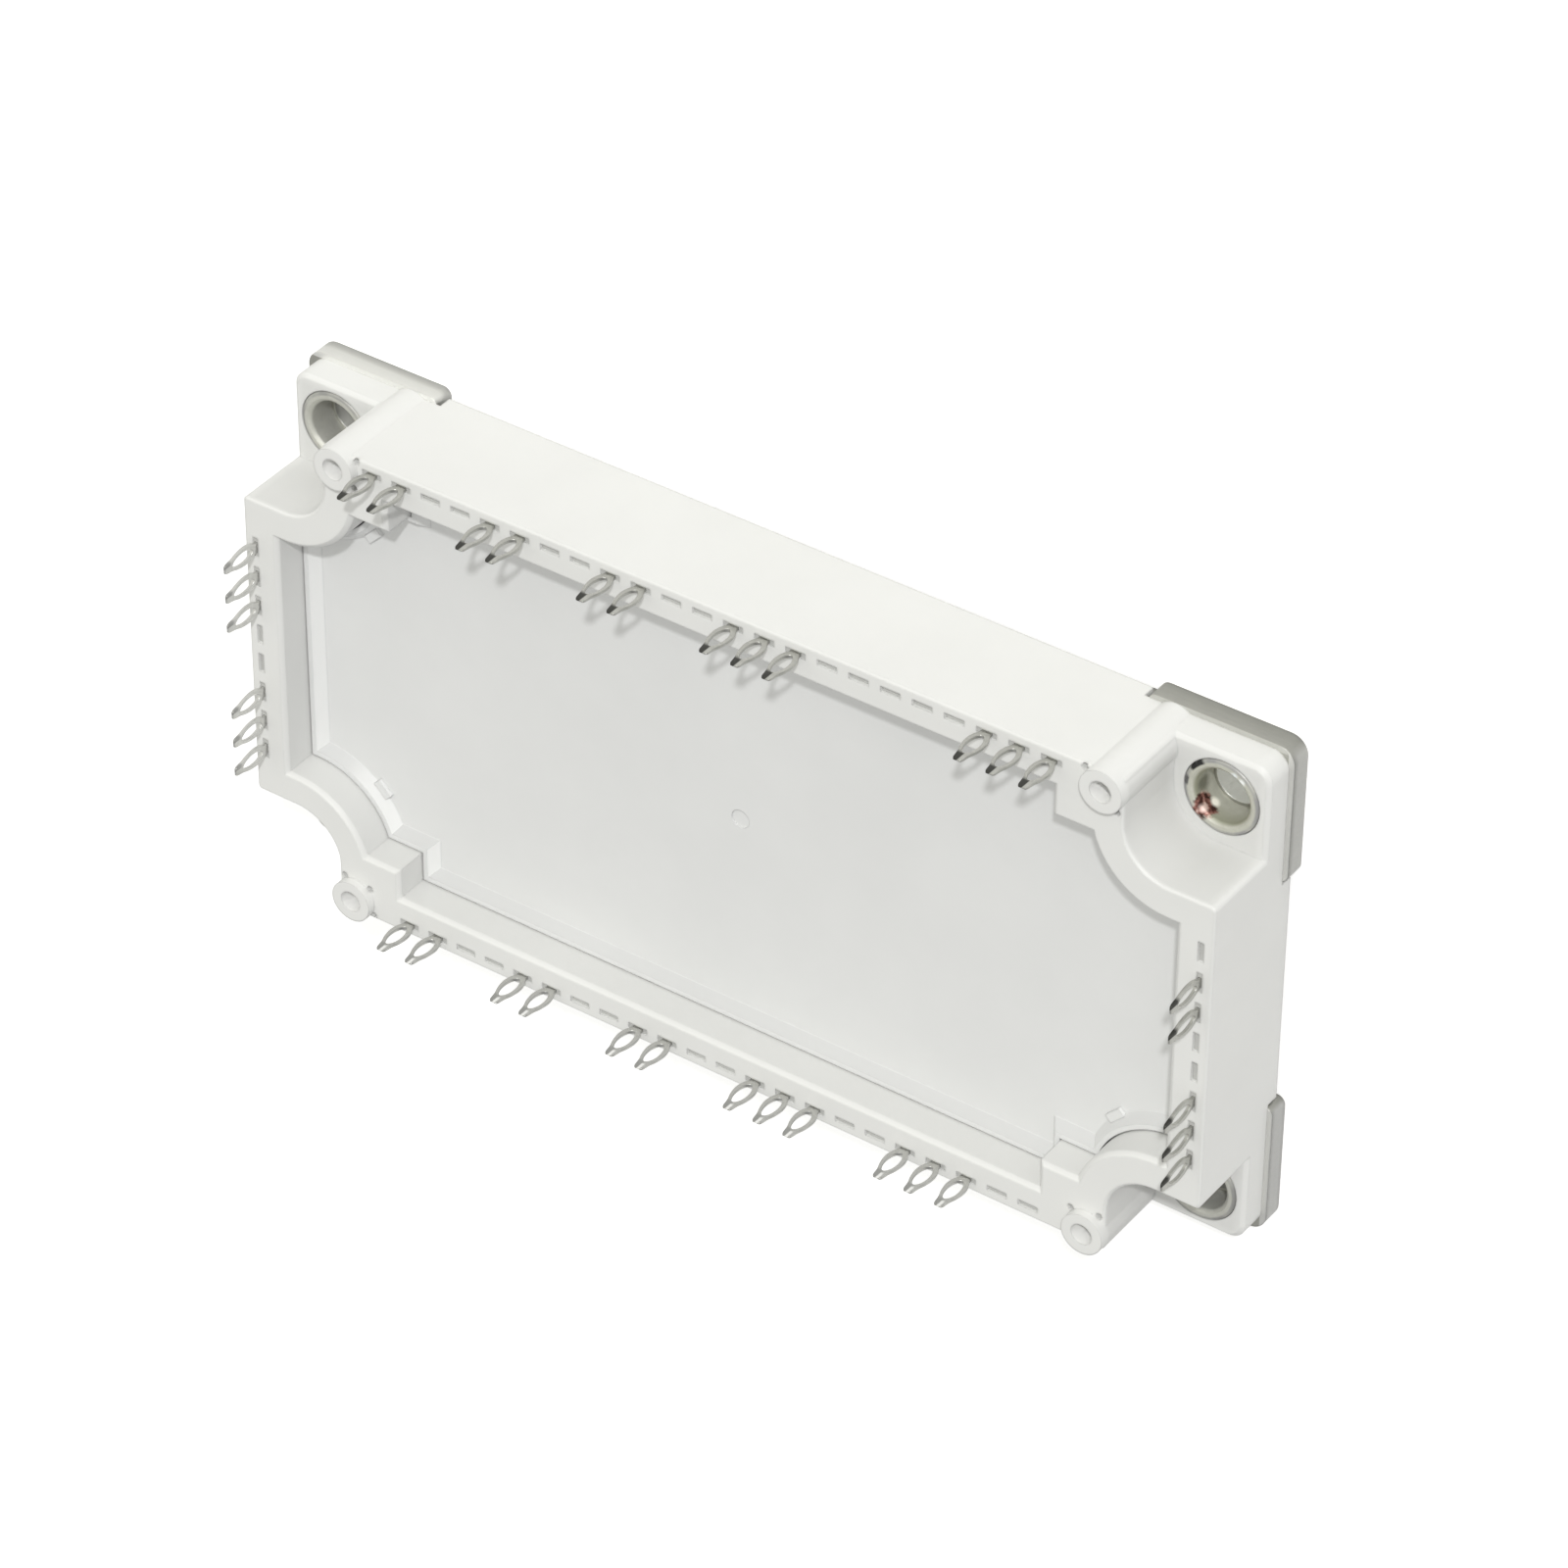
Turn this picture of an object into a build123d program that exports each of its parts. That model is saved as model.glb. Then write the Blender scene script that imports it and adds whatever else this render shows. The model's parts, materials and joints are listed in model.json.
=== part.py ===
from build123d import *
from math import atan, cos, degrees, radians, sin
import os

os.makedirs("parts", exist_ok=True)

# Power semiconductor module with press-fit pins, millimetres, +Z up.
# The origin is the centre of the underside of the metal base plate; X runs along the long side.

# Base plate
plate_length = 122.0
plate_width = 62.0
plate_thickness = 2.5
plate_corner_radius = 2.0
ear_reach_x = 11.0
ear_reach_y = 10.4
plate_inset_long = 1.4
plate_inset_short = 1.6
ear_end_radius = 1.0
hole_edge_distance = 6.0
screw_hole_radius = 2.75

# Moulded housing frame
frame_setback = 0.6
frame_top = 15.2
corner_reach = 20.0
skirt_bottom = 0.9
skirt_gap = 0.1
skirt_end_gap = 0.4
lug_top = 6.0
lug_corner_radius = 2.0
lug_edge_chamfer = 0.5
pocket_radius = 5.6
pocket_edge_round = 0.6
bulge_radius = 9.6
rim_edge_chamfer = 0.25
well_edge_chamfer = 0.5

# Well above the cover, and the steps below it
wall_width = 4.4
block_reach_x = 13.8
block_reach_y = 2.7
seat_width = 0.6
end_ledge_width = 4.0
side_ledge_width = 5.8
cavity_bulge_radius = 11.0
ledge_top = 6.2

# Bosses for the circuit board screws
boss_from_hole_x = 7.75
boss_from_hole_y = 3.5
boss_radius = 2.5
boss_top = 16.2
boss_hole_radius = 1.25
boss_hole_depth = 9.0
dimple_radius = 0.42
dimple_sides = 6
dimple_depth = 0.8
dimple_offset = 2.85
dimple_angles = (150, 225, 300)

# Cover
cover_top = 9.8
cover_thickness = 1.4
cover_gap = 0.15
cover_lip_height = 1.3
cover_lip_width = 0.6
cover_lip_foot = 1.5
rib_width = 1.0
rib_height = 0.4
rib_length = 80.0
rib_spacing = 12.0
gate_radius = 1.1
gate_depth = 0.2
catch_length = 2.2
catch_width = 1.0
catch_height = 0.5
catch_angle = 45
catch_from_hole_x = 8.0
catch_from_hole_y = 8.2

# Press-fit pins and their grid
pin_pitch = 3.81
pin_thickness = 0.4
stem_width = 1.2
pin_gap = 0.05
pin_tip = 20.5
head_start = 15.5
head_end = 19.4
head_width = 2.4
tip_width = 1.05
tip_end_width = 0.7
eye_start = 15.9
eye_end = 19.3
eye_width = 1.7
# share of the height, share of the half width
head_profile = ((0.2, 0.9), (0.45, 1.0), (0.75, 0.85))
eye_profile = ((0.2, 0.8), (0.45, 1.0), (0.75, 0.75))
foot_pad_width = 1.9
foot_pad_length = 2.4
slot_length = 2.4
slot_width = 0.7
slot_depth = 3.5
row_wall = 1.4
column_wall = 1.45
back_row_offset = 4.38
front_row_offset = 7.3
slot_end_clearance = 4.38
column_offset = 11.665
back_row_pins = (0, 1, 4, 5, 8, 9, 12, 13, 14, 20, 21, 22)
front_row_pins = (0, 1, 4, 5, 8, 9, 12, 13, 14, 17, 18, 19)
left_column_pins = (0, 1, 2, 5, 6, 7)
right_column_pins = (1, 2, 5, 6, 7)
row_foot_overlap = 0.2
column_foot_overlap = 0.3

# Sleeves in the mounting lugs
sleeve_radius = 4.35
sleeve_gap = 0.05
sleeve_bore_radius = 3.1
sleeve_top = 6.15
sleeve_bevel = 0.45

# Ceramic substrates
substrate_count = 3
substrate_gap = 2.0
substrate_end_margin = 6.5
substrate_side_margin = 1.2
solder_thickness = 0.15
copper_thickness = 0.3
ceramic_thickness = 0.4
copper_margin = 0.7
track_gap = 1.0
pad_strip_width = 3.0
back_strip_count = 3
front_strip_count = 4
chip_thickness = 0.25
transistor_size = 8.5
diode_size = 6.0
transistor_x = 6.0
diode_x = 6.5
thermistor_length = 2.4
thermistor_width = 1.4
thermistor_height = 0.9

# Bond wires
wire_width = 0.4
wire_landing = 0.9
wire_inset = 0.6
wire_rise = 0.9
wire_slope_share = 0.3
row_wire_margin = 2.0
column_wire_margin = 1.5
chip_wire_spacing = 1.8
chip_wire_inset = 1.5

# Derived levels and places
frame_length = plate_length - 2 * frame_setback
frame_width = plate_width - 2 * frame_setback
screw_pitch_x = plate_length - 2 * hole_edge_distance
screw_pitch_y = plate_width - 2 * hole_edge_distance
solder_top = plate_thickness + solder_thickness
lower_copper_top = solder_top + copper_thickness
ceramic_top = lower_copper_top + ceramic_thickness
track_top = ceramic_top + copper_thickness
chip_top = track_top + chip_thickness
seat_top = cover_top - cover_thickness
foot_top = ledge_top + pin_thickness
hole_x = screw_pitch_x / 2
hole_y = screw_pitch_y / 2
ear_start_x = hole_x - ear_reach_x
ear_start_y = hole_y - ear_reach_y
boss_x = hole_x - boss_from_hole_x
boss_y = hole_y + boss_from_hole_y
boss_pitch_x = 2 * boss_x
boss_pitch_y = 2 * boss_y
well_half_x = frame_length / 2 - wall_width
well_half_y = frame_width / 2 - wall_width
block_start_x = hole_x - block_reach_x
block_inner_y = hole_y - block_reach_y
cavity_half_x = well_half_x - end_ledge_width
cavity_half_y = well_half_y - side_ledge_width
row_y = frame_width / 2 - row_wall
column_x = frame_length / 2 - column_wall
row_foot_end = cavity_half_y + row_foot_overlap
column_foot_end = cavity_half_x + column_foot_overlap
back_row_start = back_row_offset - boss_x
front_row_start = front_row_offset - boss_x
column_start_y = hole_y - column_offset
substrate_field = 2 * (cavity_half_x - substrate_end_margin)
substrate_length = (substrate_field - (substrate_count - 1) * substrate_gap) / substrate_count
substrate_pitch = substrate_length + substrate_gap
substrate_width = 2 * (cavity_half_y - substrate_side_margin)
row_wire_end = substrate_width / 2 - row_wire_margin
column_wire_end = substrate_field / 2 - column_wire_margin
near = 0.05
corners = ((1, 1), (-1, 1), (-1, -1), (1, -1))


def save(builder, label):
    """Names a finished piece and writes it."""
    builder.part.label = label
    export_step(builder.part, "parts/" + label + ".step")


def rect_between(x0, y0, x1, y1, mode):
    """Rectangle given by two opposite corners."""
    with Locations(((x0 + x1) / 2, (y0 + y1) / 2)):
        Rectangle(abs(x1 - x0), abs(y1 - y0), mode=mode)


def outermost(points, half_x, half_y):
    """Sketch corners on the outer faces."""
    return [v for v in points if abs(v.X) > half_x - near or abs(v.Y) > half_y - near]


def corner_pocket(mode):
    """Rounded recess for the screw head at each corner, open to both outer sides."""
    for sx, sy in corners:
        with Locations((sx * hole_x, sy * hole_y)):
            Circle(pocket_radius, mode=mode)
        near_x = sx * (hole_x - pocket_radius)
        near_y = sy * (hole_y - pocket_radius)
        far_x = sx * (hole_x + corner_reach)
        far_y = sy * (hole_y + corner_reach)
        rect_between(near_x, sy * hole_y, far_x, far_y, mode)
        rect_between(sx * hole_x, near_y, far_x, far_y, mode)


def well_outline(inset):
    """Inner outline of the frame, moved inwards by the inset."""
    Rectangle(2 * (well_half_x - inset), 2 * (well_half_y - inset))
    for sx, sy in corners:
        block_x = sx * (block_start_x - inset)
        block_y = sy * (block_inner_y - inset)
        far_x = sx * (hole_x + corner_reach)
        far_y = sy * (hole_y + corner_reach)
        rect_between(block_x, block_y, far_x, far_y, Mode.SUBTRACT)
        with Locations((sx * hole_x, sy * hole_y)):
            Circle(bulge_radius + inset, mode=Mode.SUBTRACT)
        bulge_y = sy * (hole_y - bulge_radius - inset)
        rect_between(sx * hole_x, bulge_y, far_x, far_y, Mode.SUBTRACT)


def cavity_outline(inset):
    """Outline of the space around the substrates, moved inwards by the inset."""
    Rectangle(2 * (cavity_half_x - inset), 2 * (cavity_half_y - inset))
    for sx, sy in corners:
        with Locations((sx * hole_x, sy * hole_y)):
            Circle(cavity_bulge_radius + inset, mode=Mode.SUBTRACT)


def row_places(start, sign, indexes):
    """Grid positions along one long side."""
    return [(start + pin_pitch * index, sign * row_y) for index in indexes]


def column_places(sign, indexes):
    """Grid positions along one short side."""
    return [(sign * column_x, column_start_y - pin_pitch * index) for index in indexes]


def slot_sketch(row_list, column_list, length, width):
    """One rectangle at each grid position, long side along its own wall."""
    with Locations(*row_list):
        Rectangle(length, width)
    with Locations(*column_list):
        Rectangle(width, length)


def slots_between(start, end):
    """Number of grid places from start to end."""
    return int((end - start + near) / pin_pitch) + 1


def within(indexes, count):
    """Pin indexes that have a slot."""
    return [index for index in indexes if index < count]


last_row_slot = boss_x - slot_end_clearance
back_slot_count = slots_between(back_row_start, last_row_slot)
front_slot_count = slots_between(front_row_start, last_row_slot)
column_slot_count = slots_between(-column_start_y, column_start_y)
row_slots = row_places(back_row_start, 1, range(back_slot_count))
row_slots += row_places(front_row_start, -1, range(front_slot_count))
column_slots = column_places(-1, range(column_slot_count)) + column_places(1, range(column_slot_count))
back_pins = row_places(back_row_start, 1, within(back_row_pins, back_slot_count))
front_pins = row_places(front_row_start, -1, within(front_row_pins, front_slot_count))
left_pins = column_places(-1, within(left_column_pins, column_slot_count))
right_pins = column_places(1, within(right_column_pins, column_slot_count))
row_pins = back_pins + front_pins
column_pins = left_pins + right_pins

# Base plate: nickel-plated metal sheet with ears at the corners, narrower between them
with BuildPart() as base_plate:
    with BuildSketch(Plane.XY) as plate_sketch:
        Rectangle(plate_length, plate_width)
        fillet(plate_sketch.vertices(), plate_corner_radius)
        for side in (1, -1):
            long_edge = side * (plate_width / 2 - plate_inset_long)
            rect_between(-ear_start_x, long_edge, ear_start_x, side * plate_width, Mode.SUBTRACT)
            short_edge = side * (plate_length / 2 - plate_inset_short)
            rect_between(short_edge, -ear_start_y, side * plate_length, ear_start_y, Mode.SUBTRACT)
        long_ends = outermost(plate_sketch.vertices(), plate_length, plate_width / 2)
        short_ends = outermost(plate_sketch.vertices(), plate_length / 2, plate_width)
        ear_tips = [v for v in long_ends if abs(v.X) < ear_start_x + near]
        ear_tips += [v for v in short_ends if abs(v.Y) < ear_start_y + near]
        fillet(ear_tips, ear_end_radius)
        with GridLocations(screw_pitch_x, screw_pitch_y, 2, 2):
            Circle(screw_hole_radius, mode=Mode.SUBTRACT)
    extrude(amount=plate_thickness)
save(base_plate, "base_plate")

# Housing frame: one moulding with lugs, screw pockets, bosses, pin slots and inner steps
with BuildPart() as housing_frame:
    with BuildSketch(Plane.XY.offset(plate_thickness)) as foot_sketch:
        Rectangle(frame_length, frame_width)
        fillet(foot_sketch.vertices(), lug_corner_radius)
    extrude(amount=lug_top - plate_thickness)
    chamfer(housing_frame.faces().sort_by(Axis.Z)[-1].outer_wire().edges(), lug_edge_chamfer)
    with BuildSketch(Plane.XY.offset(plate_thickness)) as wall_sketch:
        Rectangle(frame_length, frame_width)
        corner_pocket(Mode.SUBTRACT)
        fillet(outermost(wall_sketch.vertices(), frame_length / 2, frame_width / 2), pocket_edge_round)
    extrude(amount=frame_top - plate_thickness)
    with BuildSketch(Plane.XY.offset(cover_top)):
        well_outline(0)
    extrude(amount=frame_top - cover_top, mode=Mode.SUBTRACT)
    rim_face = housing_frame.faces().sort_by(Axis.Z)[-1]
    chamfer(rim_face.outer_wire().edges(), rim_edge_chamfer)
    rim_face = housing_frame.faces().sort_by(Axis.Z)[-1]
    chamfer(rim_face.inner_wires().edges(), well_edge_chamfer)
    with BuildSketch(Plane.XY.offset(plate_thickness)):
        with GridLocations(boss_pitch_x, boss_pitch_y, 2, 2):
            Circle(boss_radius)
    extrude(amount=boss_top - plate_thickness)
    with BuildSketch(Plane.XY.offset(skirt_bottom)):
        Rectangle(frame_length, frame_width)
        inner_x = plate_length / 2 - plate_inset_short + skirt_gap
        inner_y = plate_width / 2 - plate_inset_long + skirt_gap
        Rectangle(2 * inner_x, 2 * inner_y, mode=Mode.SUBTRACT)
        for sx, sy in corners:
            end_x = sx * (ear_start_x - skirt_end_gap)
            end_y = sy * (ear_start_y - skirt_end_gap)
            rect_between(end_x, end_y, sx * plate_length, sy * plate_width, Mode.SUBTRACT)
    extrude(amount=plate_thickness - skirt_bottom)
    with BuildSketch(Plane.XY.offset(seat_top)):
        well_outline(0)
    extrude(amount=cover_thickness, mode=Mode.SUBTRACT)
    with BuildSketch(Plane.XY.offset(ledge_top)):
        well_outline(seat_width)
    extrude(amount=seat_top - ledge_top, mode=Mode.SUBTRACT)
    with BuildSketch(Plane.XY.offset(plate_thickness)):
        cavity_outline(0)
    extrude(amount=ledge_top - plate_thickness, mode=Mode.SUBTRACT)
    with BuildSketch(Plane.XY.offset(frame_top - slot_depth)):
        slot_sketch(row_slots, column_slots, slot_length, slot_width)
    extrude(amount=slot_depth, mode=Mode.SUBTRACT)
    with BuildSketch(Plane.XY.offset(ledge_top)):
        slot_sketch(row_pins, column_pins, stem_width + 2 * pin_gap, pin_thickness + 2 * pin_gap)
    extrude(amount=frame_top - slot_depth - ledge_top, mode=Mode.SUBTRACT)
    with BuildSketch(Plane.XY.offset(ledge_top)):
        half_stem = stem_width / 2 + pin_gap
        half_pad = foot_pad_width / 2 + pin_gap
        for x, y in row_pins:
            side = 1 if y > 0 else -1
            outer = side * (row_y + pin_thickness / 2 + pin_gap)
            pad_start = side * (row_foot_end + foot_pad_length + pin_gap)
            rect_between(x - half_stem, outer, x + half_stem, side * cavity_half_y, Mode.ADD)
            rect_between(x - half_pad, pad_start, x + half_pad, side * cavity_half_y, Mode.ADD)
        for x, y in column_pins:
            side = 1 if x > 0 else -1
            outer = side * (column_x + pin_thickness / 2 + pin_gap)
            rect_between(outer, y - half_stem, side * cavity_half_x, y + half_stem, Mode.ADD)
    extrude(amount=pin_thickness + pin_gap, mode=Mode.SUBTRACT)
    with BuildSketch(Plane.XY.offset(plate_thickness)):
        with GridLocations(screw_pitch_x, screw_pitch_y, 2, 2):
            Circle(sleeve_radius + sleeve_gap)
    extrude(amount=lug_top - plate_thickness, mode=Mode.SUBTRACT)
    with BuildSketch(Plane.XY.offset(boss_top)):
        with GridLocations(boss_pitch_x, boss_pitch_y, 2, 2):
            Circle(boss_hole_radius)
    extrude(amount=-boss_hole_depth, mode=Mode.SUBTRACT)
    with BuildSketch(Plane.XY.offset(frame_top)):
        for sx, sy in corners:
            for angle in dimple_angles:
                dimple_x = boss_x + dimple_offset * cos(radians(angle))
                dimple_y = boss_y + dimple_offset * sin(radians(angle))
                with Locations((sx * dimple_x, sy * dimple_y)):
                    RegularPolygon(dimple_radius, dimple_sides)
    extrude(amount=-dimple_depth, mode=Mode.SUBTRACT)
save(housing_frame, "housing_frame")

# Cover: flat lid with a raised sloping lip, four small catches, a gate mark and ribs below
lip_slope = degrees(atan((cover_lip_foot - cover_lip_width) / cover_lip_height))
with BuildPart() as cover:
    with BuildSketch(Plane.XY.offset(seat_top)):
        well_outline(cover_gap)
    extrude(amount=cover_thickness + cover_lip_height)
    with BuildSketch(Plane.XY.offset(cover_top)):
        well_outline(cover_gap + cover_lip_foot)
    extrude(amount=cover_lip_height, taper=-lip_slope, mode=Mode.SUBTRACT)
    with BuildSketch(Plane.XY.offset(cover_top)):
        for sx, sy in corners:
            catch_x = hole_x - catch_from_hole_x
            catch_y = hole_y - catch_from_hole_y
            with Locations((sx * catch_x, sy * catch_y)):
                Rectangle(catch_length, catch_width, rotation=-sx * sy * catch_angle)
    extrude(amount=catch_height)
    with BuildSketch(Plane.XY.offset(cover_top)):
        Circle(gate_radius)
    extrude(amount=-gate_depth, mode=Mode.SUBTRACT)
    with BuildSketch(Plane.XY.offset(seat_top)):
        with GridLocations(0, rib_spacing, 1, 3):
            Rectangle(rib_length, rib_width)
    extrude(amount=-rib_height)
save(cover, "cover")

# Metal sleeves pressed into the lugs, one at each mounting hole
sleeve_names = ("sleeve_back_right", "sleeve_back_left", "sleeve_front_left", "sleeve_front_right")
for (sx, sy), sleeve_name in zip(corners, sleeve_names):
    with BuildPart() as sleeve:
        with BuildSketch(Plane.XY.offset(plate_thickness)):
            with Locations((sx * hole_x, sy * hole_y)):
                Circle(sleeve_radius)
                Circle(sleeve_bore_radius, mode=Mode.SUBTRACT)
        extrude(amount=sleeve_top - plate_thickness)
        top_ring = sleeve.faces().sort_by(Axis.Z)[-1]
        chamfer(top_ring.inner_wires().edges(), sleeve_bevel)
    save(sleeve, sleeve_name)


def profile_points(profile, width, start, end):
    """Points of one side of a bulging outline."""
    return [(share * width / 2, start + level * (end - start)) for level, share in profile]


def press_fit_pin(place, across_row, side):
    """Bent sheet pin: flat head with an eye, straight stem, and a foot turned into the module."""
    x, y = place
    if across_row:
        origin = Vector(x, y + pin_thickness / 2, 0)
        sheet = Plane(origin=origin, x_dir=(1, 0, 0), z_dir=(0, -1, 0))
    else:
        origin = Vector(x - pin_thickness / 2, y, 0)
        sheet = Plane(origin=origin, x_dir=(0, 1, 0), z_dir=(1, 0, 0))
    half_stem = stem_width / 2
    half_tip = tip_width / 2
    with BuildPart() as pin:
        with BuildSketch(sheet):
            with BuildLine() as right_side:
                Polyline(
                    (0, ledge_top),
                    (half_stem, ledge_top),
                    (half_stem, head_start),
                    *profile_points(head_profile, head_width, head_start, head_end),
                    (half_tip, head_end),
                    (half_tip, pin_tip - tip_end_width / 2),
                    (tip_end_width / 2, pin_tip),
                    (0, pin_tip),
                )
                mirror(right_side.line, about=Plane.YZ)
            make_face()
            with BuildLine() as eye_side:
                Polyline(
                    (0, eye_start),
                    *profile_points(eye_profile, eye_width, eye_start, eye_end),
                    (0, eye_end),
                )
                mirror(eye_side.line, about=Plane.YZ)
            make_face(mode=Mode.SUBTRACT)
        extrude(amount=pin_thickness)
        with BuildSketch(Plane.XY.offset(ledge_top)):
            half_pad = foot_pad_width / 2
            if across_row:
                outer = side * (row_y + pin_thickness / 2)
                inner = side * row_foot_end
                pad_start = inner + side * foot_pad_length
                rect_between(x - half_stem, outer, x + half_stem, inner, Mode.ADD)
                rect_between(x - half_pad, pad_start, x + half_pad, inner, Mode.ADD)
            else:
                outer = side * (column_x + pin_thickness / 2)
                inner = side * column_foot_end
                pad_start = inner + side * foot_pad_length
                rect_between(outer, y - half_stem, inner, y + half_stem, Mode.ADD)
                rect_between(pad_start, y - half_pad, inner, y + half_pad, Mode.ADD)
        extrude(amount=pin_thickness)
    return pin


pin_groups = (
    ("pin_back", back_pins, True, 1),
    ("pin_front", front_pins, True, -1),
    ("pin_left", left_pins, False, -1),
    ("pin_right", right_pins, False, 1),
)
for group_name, places, across_row, side in pin_groups:
    for number, place in enumerate(places, 1):
        save(press_fit_pin(place, across_row, side), group_name + "_" + str(number).zfill(2))

# Solder layers, lower copper, ceramic and top copper tracks of the three substrates
middle_index = (substrate_count - 1) / 2
substrate_centres = [(substrate_pitch * (index - middle_index), 0) for index in range(substrate_count)]
copper_length = substrate_length - 2 * copper_margin
copper_width = substrate_width - 2 * copper_margin
strip_y = copper_width / 2 - pad_strip_width / 2
strip_counts = {1: back_strip_count, -1: front_strip_count}
plate_field = copper_width - 2 * pad_strip_width - 2 * track_gap
track_length = copper_length
track_width = (plate_field - track_gap) / 2
track_y = (track_width + track_gap) / 2
with BuildPart() as solder_layers:
    with BuildSketch(Plane.XY.offset(plate_thickness)):
        with Locations(*substrate_centres):
            Rectangle(copper_length, copper_width)
    extrude(amount=solder_thickness)
save(solder_layers, "solder_layers")

for number, centre in enumerate(substrate_centres, 1):
    with BuildPart() as lower_copper:
        with BuildSketch(Plane.XY.offset(solder_top)):
            with Locations(centre):
                Rectangle(copper_length, copper_width)
        extrude(amount=copper_thickness)
    save(lower_copper, "lower_copper_" + str(number))
    with BuildPart() as ceramic:
        with BuildSketch(Plane.XY.offset(lower_copper_top)):
            with Locations(centre):
                Rectangle(substrate_length, substrate_width)
        extrude(amount=ceramic_thickness)
    save(ceramic, "ceramic_" + str(number))
    with BuildPart() as tracks:
        with BuildSketch(Plane.XY.offset(ceramic_top)):
            for side in (1, -1):
                with Locations((centre[0], side * track_y)):
                    Rectangle(track_length, track_width)
                count = strip_counts[side]
                strip_length = (copper_length - (count - 1) * track_gap) / count
                with Locations((centre[0], side * strip_y)):
                    with GridLocations(strip_length + track_gap, 0, count, 1):
                        Rectangle(strip_length, pad_strip_width)
        extrude(amount=copper_thickness)
    save(tracks, "copper_tracks_" + str(number))

# Transistor chips and diode chips on the large tracks
transistor_places = []
diode_places = []
for centre_x, centre_y in substrate_centres:
    for side in (1, -1):
        transistor_places.append((centre_x - transistor_x, side * track_y))
        diode_places.append((centre_x + diode_x, side * track_y))
with BuildPart() as transistor_chips:
    with BuildSketch(Plane.XY.offset(track_top)):
        with Locations(*transistor_places):
            Rectangle(transistor_size, transistor_size)
    extrude(amount=chip_thickness)
save(transistor_chips, "transistor_chips")
with BuildPart() as diode_chips:
    with BuildSketch(Plane.XY.offset(track_top)):
        with Locations(*diode_places):
            Rectangle(diode_size, diode_size)
    extrude(amount=chip_thickness)
save(diode_chips, "diode_chips")

# Temperature sensor bridging two pad strips of the middle substrate
with BuildPart() as temperature_sensor:
    with BuildSketch(Plane.XY.offset(track_top)):
        with Locations((0, -strip_y)):
            Rectangle(thermistor_length, thermistor_width)
    extrude(amount=thermistor_height)
save(temperature_sensor, "temperature_sensor")


def bond_wire(start, end):
    """Bond wire from start to end, each an (x, y, z) of the surface it lands on, with flat feet."""
    flat_start = Vector(start[0], start[1], 0)
    flat_end = Vector(end[0], end[1], 0)
    span = (flat_end - flat_start).length
    along = (flat_end - flat_start).normalized()
    across = along.cross(Vector(0, 0, 1))
    plane = Plane(origin=flat_start - across * (wire_width / 2), x_dir=along, z_dir=across)
    z0 = start[2]
    z1 = end[2]
    peak = max(z0, z1) + wire_rise
    slope = span * wire_slope_share
    with BuildPart() as wire:
        with BuildSketch(plane):
            with BuildLine():
                Polyline(
                    (-wire_landing / 2, z0),
                    (wire_landing / 2, z0),
                    (slope, peak - wire_width),
                    (span - slope, peak - wire_width),
                    (span - wire_landing / 2, z1),
                    (span + wire_landing / 2, z1),
                    (span + wire_landing / 2, z1 + wire_width),
                    (span - slope + wire_width / 2, peak),
                    (slope - wire_width / 2, peak),
                    (-wire_landing / 2, z0 + wire_width),
                    close=True,
                )
            make_face()
        extrude(amount=wire_width)
    return wire.part


# Bond wires from every pin foot, and from chip to chip
with BuildPart() as bond_wires:
    for x, y in row_pins:
        side = 1 if y > 0 else -1
        start = (x, side * (row_foot_end + wire_inset), foot_top)
        add(bond_wire(start, (x, side * row_wire_end, track_top)))
    for x, y in column_pins:
        side = 1 if x > 0 else -1
        start = (side * (column_foot_end + wire_inset), y, foot_top)
        add(bond_wire(start, (side * column_wire_end, y, track_top)))
    for (tx, ty), (dx, dy) in zip(transistor_places, diode_places):
        for shift in (-chip_wire_spacing, 0, chip_wire_spacing):
            chip_start = (tx + chip_wire_inset, ty + shift, chip_top)
            chip_end = (dx - chip_wire_inset, dy + shift, chip_top)
            add(bond_wire(chip_start, chip_end))
save(bond_wires, "bond_wires")
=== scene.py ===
import bmesh
import bpy
import json
from math import cos, pi, radians, sin
from mathutils import Matrix, Vector


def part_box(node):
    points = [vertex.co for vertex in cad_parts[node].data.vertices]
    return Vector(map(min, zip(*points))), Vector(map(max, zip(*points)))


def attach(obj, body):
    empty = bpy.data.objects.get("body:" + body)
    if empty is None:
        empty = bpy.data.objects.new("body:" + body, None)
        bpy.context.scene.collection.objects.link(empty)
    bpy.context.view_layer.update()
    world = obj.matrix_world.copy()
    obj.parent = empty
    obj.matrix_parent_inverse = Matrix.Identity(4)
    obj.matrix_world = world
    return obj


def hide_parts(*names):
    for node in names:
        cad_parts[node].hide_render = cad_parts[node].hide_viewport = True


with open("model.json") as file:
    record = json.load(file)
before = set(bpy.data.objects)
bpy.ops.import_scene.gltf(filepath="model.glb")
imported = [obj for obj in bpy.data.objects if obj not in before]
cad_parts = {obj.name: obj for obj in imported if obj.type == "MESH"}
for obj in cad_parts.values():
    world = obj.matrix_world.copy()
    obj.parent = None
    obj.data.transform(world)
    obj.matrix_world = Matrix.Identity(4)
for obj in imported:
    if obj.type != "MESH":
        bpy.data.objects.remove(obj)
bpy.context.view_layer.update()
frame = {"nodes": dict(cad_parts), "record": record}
mm = 0.001

# Sizes and places of the solids, which the colours and the pieces follow

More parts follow.
